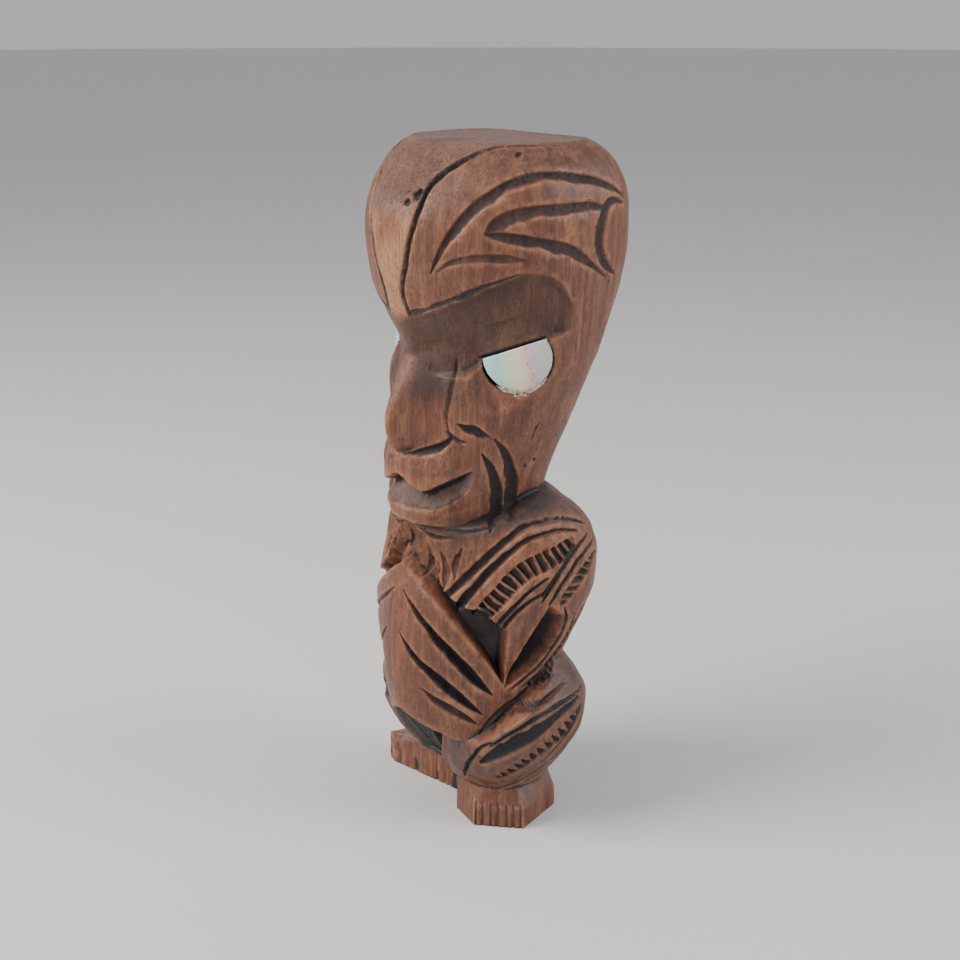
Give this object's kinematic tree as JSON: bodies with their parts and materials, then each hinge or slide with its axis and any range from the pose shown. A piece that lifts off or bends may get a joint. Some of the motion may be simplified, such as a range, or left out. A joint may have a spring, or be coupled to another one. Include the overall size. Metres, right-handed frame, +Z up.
{
  "type": "tiki statue",
  "caption": "Standing carved wooden tiki figure with a tall tapering head, inlaid half-moon shell eyes, hands on the belly and bent legs on block feet.",
  "frame": {"origin": "middle of the figure's box on the ground, under the soles", "axes": "+Z up along the figure, -Y the way the figure faces, +X the figure's own left"},
  "size_m": [0.076, 0.0702, 0.21],
  "materials": {
    "carved_wood": "dark red-brown hardwood with a worn wax finish, orange-brown on worn ridges and blue-black stain in the cuts",
    "eye_shell": "polished mother-of-pearl shell in pale green, cream and lilac bands"
  },
  "bodies": {
    "root": {"carved_figure": "carved_wood", "left_eye_shell": "eye_shell", "right_eye_shell": "eye_shell"}
  },
  "joints": []
}
